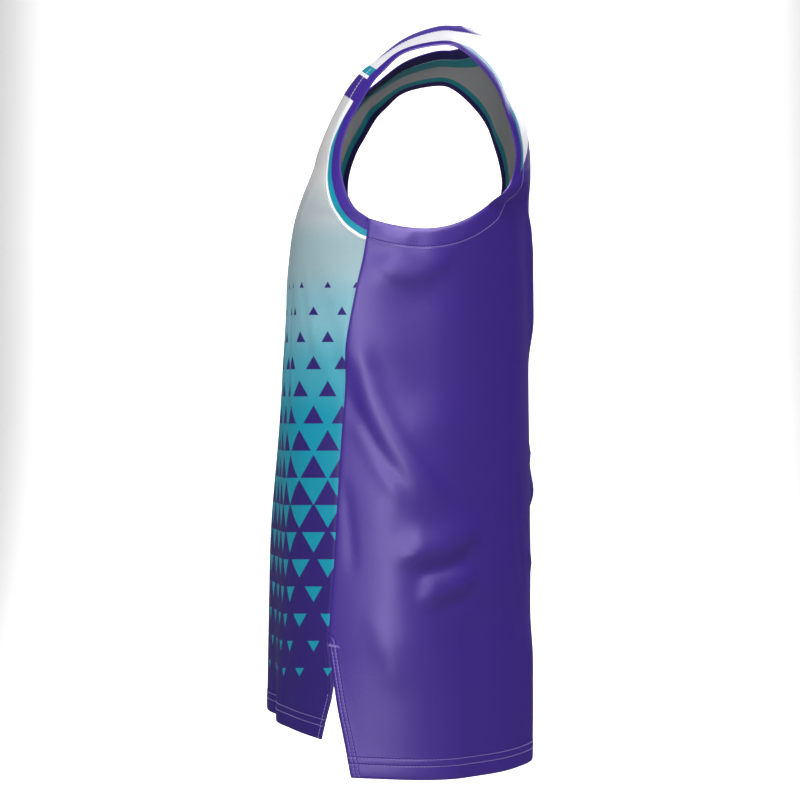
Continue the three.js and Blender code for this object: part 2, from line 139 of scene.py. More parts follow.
# Folds, as seen square on from one side: (side, start, end, bow, width, far width, height).
# The far width is on the left hand of one who walks from start to end.
FOLDS = [
    ("left", (-76, -214), (14, -206), -34, 10, 26, 4.5),
    ("left", (-76, -203), (-20, -206), -3, 7, 9, 1.8),
    ("left", (-86, -282), (30, -484), -25, 25, 10, 8),
    ("left", (-96, -312), (-22, -462), -19, 11, 11, -3.6),
    ("left", (-93, -368), (-30, -468), -4, 9, 5, 3.2),
    ("left", (-54, -508), (42, -474), -18, 10, 24, 9),
    ("left", (-30, -522), (32, -511), -5, 9, 9, -4.5),
    ("left", (-30, -553), (36, -526), -8, 9, 20, 7.5),
    ("left", (-12, -558), (36, -548), -2, 9, 8, -2.6),
    ("left", (9, -545), (4, -860), 3, 46, 17, 6),
    ("left", (80, -555), (4, -625), -6, 22, 22, -4),
    ("left", (-34, -226), (-16, -400), 0, 34, 34, -4.5),
    ("left", (-66, -400), (-36, -660), 6, 30, 30, 3.5),
    ("left", (-97, -220), (-100, -345), 0, 28, 42, 6),
    ("left", (-148, -234), (-96, -366), -4, 10, 6, 3.8),
    ("left", (-139, -212), (-95, -338), 2, 8, 8, -2.8),
    ("left", (-151, -245), (-135, -345), 0, 7, 7, -2),
    ("right", (-74, -220), (20, -210), -28, 9, 18, 4.5),
    ("right", (-80, -290), (30, -474), -14, 24, 10, 7),
    ("right", (-96, -330), (-26, -466), -8, 10, 12, -4),
    ("right", (-46, -505), (40, -470), -12, 8, 16, 5.5),
    ("right", (-34, -532), (36, -520), -5, 9, 9, -4),
    ("right", (4, -560), (8, -860), -3, 46, 18, 5),
    ("right", (78, -570), (0, -650), -5, 24, 24, -4),
    ("right", (-146, -230), (-98, -372), -4, 10, 7, 3.6),
    ("right", (-138, -214), (-96, -344), 2, 8, 8, -2.6),
    ("front", (0, -96), (0, -250), 0, 46, 46, -5),
    ("front", (92, -236), (112, -400), 8, 14, 14, -2.5),
    ("front", (-86, -250), (-104, -420), -6, 14, 14, -3),
    ("front", (0, -330), (0, -1000), 3, 44, 44, 9),
    ("front", (54, -600), (58, -1000), 2, 17, 17, -8),
    ("front", (94, -560), (104, -1000), 3, 22, 22, 4),
    ("front", (-56, -590), (-62, -1000), -3, 19, 19, -7),
    ("front", (-98, -550), (-110, -1000), -3, 22, 22, 4),
    ("back", (0, -60), (0, -240), 0, 40, 40, -3),
    ("back", (96, -170), (40, -330), -10, 20, 20, 5.5),
    ("back", (-100, -160), (-46, -340), 12, 22, 22, 5.5),
    ("back", (-62, -455), (70, -440), -16, 10, 18, 4),
    ("back", (-52, -486), (58, -478), -14, 12, 12, -4.5),
    ("back", (-84, -540), (-96, -790), 5, 34, 34, -5),
    ("back", (98, -560), (104, -790), -6, 36, 36, 5),
]
CREASES = [
    ("left", (-100, -430), (-88, -540), 3, 6, 6, -1.4),
    ("left", (-70, -206), (-20, -232), 4, 5, 5, 1.4),
    ("left", (40, -190), (8, -222), -4, 5, 5, 1.2),
    ("left", (60, -300), (46, -420), 3, 12, 12, 0.9),
    ("left", (-78, -560), (-40, -650), 5, 12, 12, 1.3),
    ("right", (-84, -340), (-10, -468), -4, 5, 5, -2.2),
    ("right", (-96, -392), (-30, -486), -5, 5, 5, 1.6),
    ("right", (-66, -208), (-16, -234), 4, 5, 5, 1.4),
    ("right", (44, -192), (10, -224), -4, 5, 5, 1.2),
    ("right", (-8, -570), (38, -548), -4, 6, 6, -1.4),
    ("right", (-80, -548), (-46, -640), 5, 12, 12, 1.3),
    ("front", (134, -228), (172, -330), 5, 6, 6, -1.7),
    ("front", (104, -268), (140, -388), 5, 6, 6, 1.5),
    ("front", (150, -150), (120, -196), -4, 7, 7, 1.3),
    ("front", (-150, -150), (-122, -192), 4, 7, 7, 1.3),
    ("front", (-130, -240), (-166, -340), -5, 6, 6, -1.7),
    ("front", (-100, -280), (-136, -396), -5, 6, 6, 1.5),
    ("front", (-40, -150), (-70, -300), -6, 10, 10, 1.4),
    ("front", (38, -146), (64, -286), 5, 10, 10, 1.3),
    ("front", (20, -330), (66, -420), 5, 9, 9, -1.4),
    ("front", (-160, -58), (-128, -36), 2, 4, 4, 1.3),
    ("front", (-160, -74), (-126, -50), 3, 4, 4, -1.1),
    ("back", (-120, -150), (-70, -210), 5, 8, 8, 1.6),
    ("back", (118, -154), (72, -206), -5, 8, 8, 1.6),
    ("back", (-70, -200), (-20, -330), 6, 10, 10, -1.6),
    ("back", (66, -210), (24, -320), -5, 9, 9, -1.4),
    ("back", (-30, -420), (60, -412), -6, 6, 6, 1.5),
    ("back", (-110, -500), (-30, -520), -8, 7, 7, 1.5),
    ("back", (110, -510), (36, -530), 7, 7, 7, 1.3),
    ("back", (140, -440), (120, -560), 5, 9, 9, -1.4),
]
FOLD_END_SHARE = 0.3
FOLD_SAMPLES = 12

# Doubled cloth at the edges: its fold and rows of stitching, by distance from the edge
HEM_PUFF = 0.45
HEM_LINES = {"hem": (0, 12.7, 19.1), "arm": (0, 18), "vent": (0, 8.5)}

# The print
STRIPE_PURPLE = 11
STRIPE_TEAL = 17
STRIPE_WHITE = 20
INSIDE_STRIPE_PURPLE = 9
INSIDE_STRIPE_TEAL = 19
STRIPE_TEAL_BACK = 19
TRIANGLE_PITCH = 27.5
TRIANGLE_ROW = 26.26
TRIANGLE_BASE = -255.5
TRIANGLE_COLUMN = -139.4
TRIANGLE_FIRST_WIDTH = 6.8
TRIANGLE_GROWTH = 2.65
TRIANGLE_SLANT = 0.885
UP_ROWS = 8
DOWN_ROWS = 15
DOWN_FIRST_WIDTH = 24.9
PRINT_TURN = (0.24, 0.5)
PRINT_FRONT = 110
PRINT_REACH = 200
PRINT_EYE = 2615
PRINT_EYE_DEPTH = -42
PRINT_EYE_HEIGHT = -364
PATCH_TEAL = 9.6
PATCH_WHITE = 13.3
PATCH_PURPLE = 38.5
ARCH_TOP = -80
ARCH_DROP = 79
ARCH_REACH = 183
ARCH_POWER = 2.2

# Stitching: distance from the edge that each row of it follows
STITCH_LENGTH = 2.9
STITCH_PITCH = 3.5
STITCH_RADIUS = 0.4
FRONT_ARM_STITCH = 21
BACK_ARM_STITCH = 18
HEM_STITCHES = (12.7, 19.1)
VENT_STITCHES = (4.5, 8.5)
NECK_STITCH = 2.2
FRONT_VENT_SEWN = -640
VENT_TACK = (-93, -601)
TACK_PITCH = 0.8
TACK_FALL = 2.2
TACK_RISE = 0.3


def srgb(red, green, blue):
    """A colour given in 0 to 255 as linear values with alpha."""
    def linear(value):
        value /= 255
        return value / 12.92 if value <= 0.04045 else ((value + 0.055) / 1.055) ** 2.4
    return (linear(red), linear(green), linear(blue), 1)


PURPLE = srgb(60, 35, 142)
# Painted shade: the front's purple is the same cloth's purple darkened, because the front lies in shade.
SHADED_FRONT_PURPLE = srgb(48, 30, 116)
BACK_PURPLE = srgb(59, 30, 146)
TEAL = srgb(0, 144, 168)
WHITE = srgb(246, 246, 250)
# Painted shade: the inside cloth is white but painted mid grey, and the inside purple and teal are the print's
# colours darkened, for the shade inside the body and under the neckband.
SHADED_INSIDE_GREY = srgb(152, 152, 154)
SHADED_INSIDE_PURPLE = srgb(34, 22, 92)
SHADED_INSIDE_TEAL = srgb(0, 124, 136)
LILAC_THREAD = srgb(142, 126, 200)
PALE_THREAD = srgb(216, 218, 224)


def mixed(a, b, share):
    return a + (b - a) * share


# The surface

def smooth(xs, ys, x):
    """The value at x of a smooth curve through the points (xs, ys)."""
    last = len(xs) - 1
    at = int(np.clip(np.searchsorted(xs, x, side="right") - 1, 0, last - 1))

    def slope(j):
        low, high = max(j - 1, 0), min(j + 1, last)
        return (ys[high] - ys[low]) / (xs[high] - xs[low])

    span = xs[at + 1] - xs[at]
    t = min(max((x - xs[at]) / span, 0), 1)
    t2, t3 = t * t, t * t * t
    start = (2 * t3 - 3 * t2 + 1) * ys[at] + (t3 - 2 * t2 + t) * span * slope(at)
    return start + (3 * t2 - 2 * t3) * ys[at + 1] + (t3 - t2) * span * slope(at + 1)


def torso(column, z):
    return smooth(TORSO[:, 0], TORSO[:, TORSO_COLUMNS.index(column)], z)


def on_torso(y, z):
    """A point (x, y) of the rounded-square plan and the slope of its outline there."""
    middle = (torso("front", z) + torso("back", z)) / 2
    reach = (torso("back", z) - torso("front", z)) / 2
    half = torso("half", z)
    part = abs(y - middle) / reach
    x = half * (1 - part ** TORSO_SQUARENESS) ** (1 / TORSO_SQUARENESS)
    across = (x / half) ** (TORSO_SQUARENESS - 1) / half
    along = math.copysign(part ** (TORSO_SQUARENESS - 1), y - middle) / reach
    return x, y, -along / across


def tangent_at(point, y):
    return point[0] + point[2] * (y - point[1])


def fan(z):
    return math.exp((z - UNDERARM) / FAN_FADE)


def front_section(z):
    seam = on_torso(torso("front_edge" if z < VENT_TOP else "back_edge", z), z)
    centre_z = z + FAN_FRONT_CENTRE * fan(z) + HEM_RISE * math.exp((FRONT_HEM - z) / HEM_FADE)
    knee_z = mixed(z, centre_z, KNEE_SHARE)
    front = torso("front", knee_z)
    knee_x = tangent_at(seam, front) * torso("front_square", z)
    return (0, torso("front", centre_z), centre_z), (knee_x, front, knee_z), (seam[0], seam[1], z)


def side_section(z):
    seam = on_torso(torso("back_edge", z), z)
    rear_z = z + FAN_REAR * fan(z)
    rear = on_torso(REAR_LINE, rear_z)
    meet = (rear[0] - seam[0] + seam[2] * seam[1] - rear[2] * rear[1]) / (seam[2] - rear[2])
    knee = (tangent_at(seam, meet), meet, z + FAN_SIDE_DIP * fan(z))
    return (seam[0], seam[1], z), knee, (rear[0], rear[1], rear_z)


def back_section(z):
    rear_z = z + FAN_REAR * fan(z)
    rear = on_torso(REAR_LINE, rear_z)
    centre_z = z + FAN_BACK_CENTRE * fan(z)
    knee_z = mixed(rear_z, centre_z, KNEE_SHARE)
    back = torso("back", knee_z)
    return (0, torso("back", centre_z), centre_z), (tangent_at(rear, back), back, knee_z), (*rear[:2], rear_z)


def seam_heights(hem, vent_rows):
    vent = [mixed(hem, VENT_TOP, i / vent_rows) for i in range(vent_rows)]
    return vent + [mixed(VENT_TOP, UNDERARM, i / SEAM_ROWS) for i in range(SEAM_ROWS + 1)]


FRONT_HEIGHTS = seam_heights(FRONT_HEM, FRONT_VENT_ROWS)
BACK_HEIGHTS = seam_heights(BACK_HEM, BACK_VENT_ROWS)
FRONT_SECTIONS = np.array([front_section(z) for z in FRONT_HEIGHTS] + CHEST + SHOULDER)
SIDE_SECTIONS = np.array([side_section(z) for z in BACK_HEIGHTS])
BACK_SECTIONS = np.array(
    [back_section(z) for z in BACK_HEIGHTS] + UPPER_BACK[::-1] + SHOULDER[::-1] + CHEST[-1:]
)
FRONT_TOP = len(FRONT_HEIGHTS) - 1
BACK_TOP = len(BACK_HEIGHTS) - 1
FRONT_CORNERS = (FRONT_TOP + 1 + FRONT_NECK_START, 0, FRONT_TOP)
BACK_CORNERS = (BACK_TOP + 1 + len(UPPER_BACK), 0, BACK_TOP)
FRONT_END = FRONT_TOP + len(CHEST)
BACK_END = len(BACK_SECTIONS) - 1


def between(sections, place, corners):
    """The section at a place between two of a list. The corner that an end turns is kept."""
    last = len(sections) - 1
    section = np.empty((3, 3))
    for key, corner in enumerate(corners):
        low, high = (0, corner) if place < corner else (corner, last)
        for axis in range(3):
            section[key, axis] = smooth(
                np.arange(low, high + 1), sections[low:high + 1, key, axis], place
            )
    return section


def points_across(section, cells):
    """Points at even lengths along a section's curve."""
    start, knee, end = section
    t = np.linspace(0, 1, CURVE_SAMPLES + 1)[:, None]
    first, second = mixed(start, knee, KNEE_PULL), mixed(end, knee, KNEE_PULL)
    curve = (1 - t) ** 3 * start + 3 * (1 - t) ** 2 * t * first + 3 * (1 - t) * t ** 2 * second + t ** 3 * end
    length = np.concatenate([[0], np.cumsum(np.linalg.norm(np.diff(curve, axis=0), axis=1))])
    even = np.linspace(0, length[-1], cells + 1)
    return np.stack([np.interp(even, length, curve[:, axis]) for axis in range(3)], axis=1)


def row_of(section):
    """The row of the finer grid that a lower section is."""
    return 0 if section == 0 else HEM_STEPS + (section - 1) * LOWER_STEPS


def places(top, end):
    """Places along the sections: fine at the hem, coarser up to the underarm, finer above."""
    hem = np.arange(HEM_STEPS) / HEM_STEPS
    lower = 1 + np.arange((top - 1) * LOWER_STEPS) / LOWER_STEPS
    upper = top + np.arange((end - top) * UPPER_STEPS + 1) / UPPER_STEPS
    return np.concatenate([hem, lower, upper])


def grid(sections, at, corners, cells):
    return np.array([points_across(between(sections, place, corners), cells) for place in at])


def left_grids():
    """The front, side and back blocks on the wearer's left, with shared edges made equal."""
    front = grid(FRONT_SECTIONS, places(FRONT_TOP, FRONT_END), FRONT_CORNERS, PANEL_CELLS)
    back = grid(BACK_SECTIONS, places(BACK_TOP, BACK_END), BACK_CORNERS, PANEL_CELLS)
    side = grid(SIDE_SECTIONS, places(BACK_TOP, BACK_TOP), (0, 0, 0), SIDE_CELLS)
    seam_rows = SEAM_ROWS * LOWER_STEPS + 1
    vent_row = row_of(FRONT_VENT_ROWS)
    side[-seam_rows:, 0] = front[vent_row:vent_row + seam_rows, -1]
    side[:, -1] = back[:len(side), -1]
    front[-1] = back[-1]
    return front, side, back


def length_across(rows):
    """How far each point of each row is from the row's first point, along the cloth."""
    step = np.linalg.norm(np.diff(rows, axis=1), axis=2)
    return np.concatenate([np.zeros((len(rows), 1)), np.cumsum(step, axis=1)], axis=1)


def soft_step(value, low, high):
    share = np.clip((value - low) / (high - low), 0, 1)
    return share * share * (3 - 2 * share)


def front_artwork(rows, normals):
    """Where each point of the front lies on the print: its column and its height.

    Seen from the side the print's rows are level and its columns even, up to where the cloth
    turns to the front. From there the columns follow the cloth to one at the centre line.
    """
    away = np.abs(rows[..., 0])
    near = (1 - PRINT_REACH / PRINT_EYE) / (1 - away / PRINT_EYE)
    seen = PRINT_EYE_DEPTH + (rows[..., 1] - PRINT_EYE_DEPTH) * near
    cloth = length_across(rows)
    share = soft_step(np.abs(normals[..., 0]), *PRINT_TURN)
    share = (share[:, 1:] + share[:, :-1]) / 2
    step = mixed(np.diff(cloth, axis=1), np.diff(seen, axis=1), share)
    from_seam = np.cumsum(step[:, ::-1], axis=1)[:, ::-1]
    column = seen[:, -1:] - np.concatenate([from_seam, np.zeros((len(rows), 1))], axis=1)
    middle = np.median(column[:row_of(FRONT_TOP), 0])
    middle = TRIANGLE_COLUMN + TRIANGLE_PITCH * round((middle - TRIANGLE_COLUMN) / TRIANGLE_PITCH)
    column += (middle - column[:, :1]) * (1 - soft_step(away, 0, PRINT_FRONT))
    level = (1 - PRINT_REACH / PRINT_EYE) / (1 - np.maximum(away, PRINT_FRONT) / PRINT_EYE)
    height = PRINT_EYE_HEIGHT + (rows[..., 2] - PRINT_EYE_HEIGHT) * level
    return column, height


class Cloth:
    """Welded points and four-sided faces that look outwards, each of a named panel."""

    def __init__(self):
        self.points = []
        self.faces = {"front": [], "back": []}
        self.found = {}

    def index(self, point):
        key = tuple(np.round(point / PASTE).astype(int))
        if key not in self.found:
            self.found[key] = len(self.points)
            self.points.append(point)
        return self.found[key]

    def add(self, rows, mirror, flip, panel):
        place = rows * (-1, 1, 1) if mirror else rows
        ids = np.array([[self.index(point) for point in row] for row in place])
        quads = np.stack([ids[:-1, :-1], ids[:-1, 1:], ids[1:, 1:], ids[1:, :-1]], axis=-1).reshape(-1, 4)
        self.faces[panel].append(quads[:, ::-1] if flip != mirror else quads)
        return ids


def normals_of(points, faces):
    corner = points[faces]
    across = np.cross(corner[:, 2] - corner[:, 0], corner[:, 3] - corner[:, 1])
    sums = np.zeros_like(points)
    for k in range(4):
        np.add.at(sums, faces[:, k], across)
    return sums / np.linalg.norm(sums, axis=1, keepdims=True).clip(1e-9)


def to_line(points, line):
    """From each point to a line of straight pieces: the distance, the share of the line at the
    nearest place, and the step to there, for telling its two hands apart."""
    best = np.full(len(points), np.inf)
    share = np.zeros(len(points))
    hand = np.zeros(len(points))
    for i, (a, b) in enumerate(zip(line[:-1], line[1:])):
        step = b - a
        t = np.clip((points - a) @ step / max(step @ step, 1e-12), 0, 1)
        off = points - a - t[:, None] * step
        distance = np.linalg.norm(off, axis=1)
        nearer = distance < best
        best[nearer] = distance[nearer]
        share[nearer] = (i + t[nearer]) / (len(line) - 1)
        hand[nearer] = step[0] * off[nearer, 1] - step[1] * off[nearer, 0]
    return best, share, hand


VIEWS = {"left": ((1, 2), (1, 0, 0)), "right": ((1, 2), (-1, 0, 0)),
         "front": ((0, 2), (0, -1, 0)), "back": ((0, 2), (0, 1, 0))}


def fold_push(points, normals, folds):
    push = np.zeros(len(points))
    for view, start, end, bow, width, far_width, height in folds:
        axes, look = VIEWS[view]
        facing = np.clip(normals @ np.array(look), 0, None) ** 2
        share = np.linspace(0, 1, FOLD_SAMPLES + 1)[:, None]
        start, end = np.array(start, float), np.array(end, float)
        aside = np.array([-(end - start)[1], (end - start)[0]]) / np.linalg.norm(end - start)
        line = mixed(start, end, share) + aside * bow * 4 * share * (1 - share)
        flat = points[:, axes]
        reach = 3 * max(width, far_width)
        near = (facing > 0) & np.all(flat > line.min(0) - reach, 1) & np.all(flat < line.max(0) + reach, 1)
        distance, at, hand = to_line(flat[near], line)
        to_end = np.minimum(at, 1 - at) / FOLD_END_SHARE
        taper = np.sin(np.minimum(to_end, 1) * np.pi / 2) ** 2
        spread = np.where(hand > 0, far_width, width)
        push[near] += facing[near] * height * taper * np.exp(-((distance / spread) ** 2))
    return push


def hem_puff(fields):
    """How far the doubled cloth of a hem stands out, less at its fold and at its stitching."""
    puff = np.zeros(len(fields["hem"]))
    for field, lines in HEM_LINES.items():
        for start, end in zip(lines, lines[1:]):
            part = np.clip((fields[field] - start) / (end - start), 0, 1)
            puff = np.maximum(puff, HEM_PUFF * np.sin(np.pi * part) ** 0.7)
    return puff


# Blender objects

def material_slots(obj, materials):
    for material in materials:
        obj.data.materials.append(material)


def new_object(name, points, faces, materials, indices=None):
    mesh = bpy.data.meshes.new(name)
    mesh.from_pydata((np.asarray(points) * MM).tolist(), [], [list(map(int, f)) for f in faces])
    obj = bpy.data.objects.new(name, mesh)
    bpy.context.scene.collection.objects.link(obj)
    material_slots(obj, materials)
    if indices is not None:
        mesh.polygons.foreach_set("material_index", np.asarray(indices, dtype=np.int32))
    mesh.shade_smooth()
    mesh.update()
    return obj


def add_map(obj, name, values):
    """Stores two numbers for each point as a map over the faces' corners."""
    layer = obj.data.uv_layers.new(name=name)
    corners = np.empty(len(obj.data.loops), dtype=np.int32)
    obj.data.loops.foreach_get("vertex_index", corners)
    layer.data.foreach_set("uv", np.asarray(values, dtype=np.float32)[corners].ravel())


class Panel:
    """One panel's wall: its outer skin, inner skin and rim."""

    def __init__(self, name, cloth, points, normals, free_edges, fields, materials):
        faces = np.concatenate(cloth.faces[name])
        used = np.unique(faces)
        place = {int(old): new for new, old in enumerate(used)}
        self.faces = np.vectorize(place.get)(faces)
        self.normals = normals[used]
        rim = self.rim()
        drawn = np.zeros((len(used), 3))
        outer = points[used].copy()
        for a, b in rim:
            edge = outer[b] - outer[a]
            edge /= np.linalg.norm(edge)
            drawn[a] += np.cross(self.normals[a], edge)
            drawn[b] += np.cross(self.normals[b], edge)
        length = np.linalg.norm(drawn, axis=1, keepdims=True)
        drawn /= length.clip(1e-9)
        on_rim = length[:, 0] > 1e-6
        free = on_rim & np.isin(used, free_edges)
        seam = on_rim & ~free
        outer[on_rim] += drawn[on_rim] * SEAM_GAP / 2
        outer[seam] -= self.normals[seam] * SEAM_SINK
        self.outer = outer
        self.fields = {key: value[used] for key, value in fields.items()}
        self.obj = self.build(name, rim, drawn, free, materials)

    def rim(self):
        pairs = np.concatenate([self.faces[:, [k, (k + 1) % 4]] for k in range(4)])
        known = {(int(a), int(b)) for a, b in pairs}
        return [(a, b) for a, b in known if (b, a) not in known]

    def build(self, name, rim, drawn, free, materials):
        count = len(self.outer)
        inner = self.outer - self.normals * WALL
        rim_points = sorted({a for a, _ in rim})
        middle_of = {a: 2 * count + i for i, a in enumerate(rim_points)}
        bulge = np.where(free[rim_points], RIM_ROUND, 0.0)[:, None]
        middle = (self.outer[rim_points] + inner[rim_points]) / 2 - drawn[rim_points] * bulge
        points = np.concatenate([self.outer, inner, middle])
        rims = [(b, a, middle_of[a], middle_of[b]) for a, b in rim]
        rims += [(middle_of[b], middle_of[a], a + count, b + count) for a, b in rim]
        faces = [*self.faces, *(self.faces + count)[:, ::-1], *rims]
        indices = np.zeros(len(faces), dtype=int)
        indices[len(self.faces):2 * len(self.faces)] = 1
        obj = new_object(f"{name}_cloth", points, faces, materials, indices)
        source = np.concatenate([np.arange(count), np.arange(count), rim_points])
        maps = {
            "print": ("across", "height"),
            "edges": ("arm", "neck"),
            "hems": ("hem", "vent"),
            "seams": ("side", "shoulder"),
            "place": ("x", "y"),
        }
        for key, pair in maps.items():
            add_map(obj, key, np.stack([self.fields[field][source] for field in pair], axis=1) * MM)
        obj.data.set_sharp_from_angle(angle=math.radians(60))
        return obj

    def area(self):
        corner = self.outer[self.faces]
        across = np.cross(corner[:, 2] - corner[:, 0], corner[:, 3] - corner[:, 1])
        return float(np.linalg.norm(across, axis=1).sum() / 2) * MM * MM


# Materials

class Nodes:
    """A short way to write a material's nodes."""

    def __init__(self, name):
        self.material = bpy.data.materials.new(name)
        self.material.use_nodes = True
        self.tree = self.material.node_tree
        self.tree.nodes.clear()
        self.shader = self.tree.nodes.new("ShaderNodeBsdfPrincipled")
        output = self.tree.nodes.new("ShaderNodeOutputMaterial")
        self.tree.links.new(self.shader.outputs[0], output.inputs["Surface"])

    def put(self, socket, value):
        if isinstance(value, bpy.types.NodeSocket):
            self.tree.links.new(value, socket)
        else:
            socket.default_value = value

    def math(self, operation, *values, clamp=False):
        node = self.tree.nodes.new("ShaderNodeMath")
        node.operation = operation
        node.use_clamp = clamp
        for socket, value in zip(node.inputs, values):
            self.put(socket, value)
        return node.outputs[0]

    def ramp_between(self, value, low, high):
        """0 at low and 1 at high, with a soft change between them."""
        node = self.tree.nodes.new("ShaderNodeMapRange")
        node.interpolation_type = "SMOOTHSTEP"
        self.put(node.inputs["Value"], value)
        self.put(node.inputs["From Min"], low)
        self.put(node.inputs["From Max"], high)
        return node.outputs[0]

    def below(self, value, limit, blur=0.0004):
        """1 where value is below limit, with an edge as soft as print on cloth."""
        return self.math("SUBTRACT", 1.0, self.ramp_between(self.math("SUBTRACT", value, limit), -blur, blur))

    def mix(self, share, first, second):
        node = self.tree.nodes.new("ShaderNodeMix")
        node.data_type = "RGBA"
        self.put(node.inputs["Factor"], share)
        self.put(node.inputs["A"], first)
        self.put(node.inputs["B"], second)
        return node.outputs["Result"]

    def map(self, name):
        """The two numbers stored in a map."""
        node = self.tree.nodes.new("ShaderNodeUVMap")
        node.uv_map = name
        split = self.tree.nodes.new("ShaderNodeSeparateXYZ")
        self.tree.links.new(node.outputs[0], split.inputs[0])
        return split.outputs[0], split.outputs[1]

    def object_noise(self, scale, detail=2.0):
        place = self.tree.nodes.new("ShaderNodeTexCoord")
        noise = self.tree.nodes.new("ShaderNodeTexNoise")
        noise.inputs["Scale"].default_value = scale
        noise.inputs["Detail"].default_value = detail
        self.tree.links.new(place.outputs["Object"], noise.inputs["Vector"])
        return noise.outputs[0]

    def groove(self, distance, at, width=0.0009):
        """The depth, from 0 to 1, of a stitched groove that follows an edge."""
        off = self.math("DIVIDE", self.math("SUBTRACT", distance, at), width)
        return self.math("POWER", math.e, self.math("MULTIPLY", self.math("MULTIPLY", off, off), -1.0))

    def bump(self, height, distance):
        node = self.tree.nodes.new("ShaderNodeBump")
        node.inputs["Distance"].default_value = distance
        self.put(node.inputs["Height"], height)
        self.tree.links.new(node.outputs[0], self.shader.inputs["Normal"])

    def weave(self):
        """Fine knit: columns of loops crossed by rows, from the print's own coordinates."""
        across, height = self.map("print")
        wale = self.math("SINE", self.math("MULTIPLY", across, math.tau / 0.0013))
        course = self.math("SINE", self.math("MULTIPLY", height, math.tau / 0.0011))
        return self.math("MULTIPLY", wale, course)

    def finish(self, colour, roughness, sheen, sheen_tint, specular=0.4, gloss_tint=(1, 1, 1, 1), ior=1.5):
        self.put(self.shader.inputs["Base Color"], colour)
        self.shader.inputs["Roughness"].default_value = roughness
        self.shader.inputs["Sheen Weight"].default_value = sheen
        self.shader.inputs["Sheen Roughness"].default_value = 0.35
        self.shader.inputs["Sheen Tint"].default_value = sheen_tint
        self.shader.inputs["Specular IOR Level"].default_value = specular
        self.shader.inputs["Specular Tint"].default_value = gloss_tint
        self.shader.inputs["IOR"].default_value = ior
        return self.material


def knit_colour(nodes, colour):
    """The colour with the faint grain of the knit and a slow unevenness of the print."""
    grain = nodes.ramp_between(nodes.object_noise(900), 0.3, 0.7)
    slow = nodes.ramp_between(nodes.object_noise(14), 0.3, 0.7)
    node = nodes.tree.nodes.new("ShaderNodeHueSaturation")
    value = nodes.math("ADD", 0.94, nodes.math("ADD", nodes.math("MULTIPLY", grain, 0.08), nodes.math("MULTIPLY", slow, 0.03)))
    nodes.put(node.inputs["Value"], value)
    nodes.put(node.inputs["Color"], colour)
    return node.outputs[0]


def knit_bump(nodes, grooves):
    """Knit, pebbling of the thread and the grooves that stitching draws in."""
    height = nodes.math("MULTIPLY", nodes.weave(), 0.06)
    height = nodes.math("ADD", height, nodes.math("MULTIPLY", nodes.object_noise(700), 0.22))
    for groove in grooves:
        height = nodes.math("SUBTRACT", height, nodes.math("MULTIPLY", groove, 0.9))
    nodes.bump(height, 0.0005)


def ground(nodes, height):
    """The front's colour down the body: white, then pale grey-blue, then teal."""
    colour = srgb(205, 205, 206)
    steps = (
        (-145, -172, srgb(180, 190, 194)),
        (-180, -215, srgb(152, 179, 186)),
        (-230, -275, srgb(124, 178, 192)),
        (-280, -335, srgb(66, 160, 180)),
        (-330, -385, TEAL),
    )
    for start, end, tone in steps:
        share = nodes.math("SUBTRACT", 1.0, nodes.ramp_between(height, end * MM, start * MM))
        colour = nodes.mix(share, colour, tone)
    return colour


def triangle_mask(nodes, aside, rise, width):
    """1 inside a triangle: aside from its middle, rise from its base, width of its base."""
    narrowing = nodes.math("DIVIDE", rise, TRIANGLE_SLANT)
    reach = nodes.math("MULTIPLY", nodes.math("SUBTRACT", width, narrowing), 0.5)
    return nodes.below(nodes.math("SUBTRACT", aside, reach), 0.0, 0.0003)


def triangles(nodes, colour):
    """Rows of purple triangles that grow down the front, then teal ones that shrink."""
    across, height = nodes.map("print")
    row_place = nodes.math("DIVIDE", nodes.math("SUBTRACT", TRIANGLE_BASE * MM, height), TRIANGLE_ROW * MM)
    row = nodes.math("CEIL", row_place)
    rise = nodes.math("MULTIPLY", nodes.math("SUBTRACT", row, row_place), TRIANGLE_ROW * MM)
    fall = nodes.math("SUBTRACT", TRIANGLE_ROW * MM, rise)
    odd = nodes.math("MODULO", nodes.math("ABSOLUTE", row), 2.0)
    column = nodes.math("DIVIDE", nodes.math("SUBTRACT", across, TRIANGLE_COLUMN * MM), TRIANGLE_PITCH * MM)

    def aside(shift):
        moved = nodes.math("ADD", nodes.math("ADD", column, shift), 100.0)
        part = nodes.math("ABSOLUTE", nodes.math("SUBTRACT", nodes.math("FRACT", moved), 0.5))
        return nodes.math("MULTIPLY", part, TRIANGLE_PITCH * MM)

    up_aside = aside(nodes.math("ADD", 0.5, nodes.math("MULTIPLY", odd, 0.5)))
    down_aside = aside(nodes.math("MULTIPLY", odd, 0.5))
    growth = nodes.math("MULTIPLY", row, TRIANGLE_GROWTH * MM)
    up_width = nodes.math("MINIMUM", nodes.math("ADD", growth, TRIANGLE_FIRST_WIDTH * MM), TRIANGLE_PITCH * MM)
    shrink = nodes.math("SUBTRACT", row, float(UP_ROWS + 1))
    down_width = nodes.math("SUBTRACT", DOWN_FIRST_WIDTH * MM, nodes.math("MULTIPLY", shrink, TRIANGLE_GROWTH * MM))
    upper = nodes.math("MULTIPLY", nodes.math("GREATER_THAN", row, -0.5), nodes.math("LESS_THAN", row, UP_ROWS + 0.5))
    lower = nodes.math("GREATER_THAN", row, UP_ROWS + 0.5)
    shown = nodes.math("MULTIPLY", lower, nodes.math("LESS_THAN", row, DOWN_ROWS + 0.5))
    up = nodes.math("MULTIPLY", upper, triangle_mask(nodes, up_aside, rise, up_width))
    down = nodes.math("MULTIPLY", shown, triangle_mask(nodes, down_aside, fall, down_width))
    # The purple triangles and the purple below them use the darkened front purple: painted shade.
    colour = nodes.mix(up, colour, SHADED_FRONT_PURPLE)
    colour = nodes.mix(lower, colour, SHADED_FRONT_PURPLE)
    return nodes.mix(down, colour, TEAL)


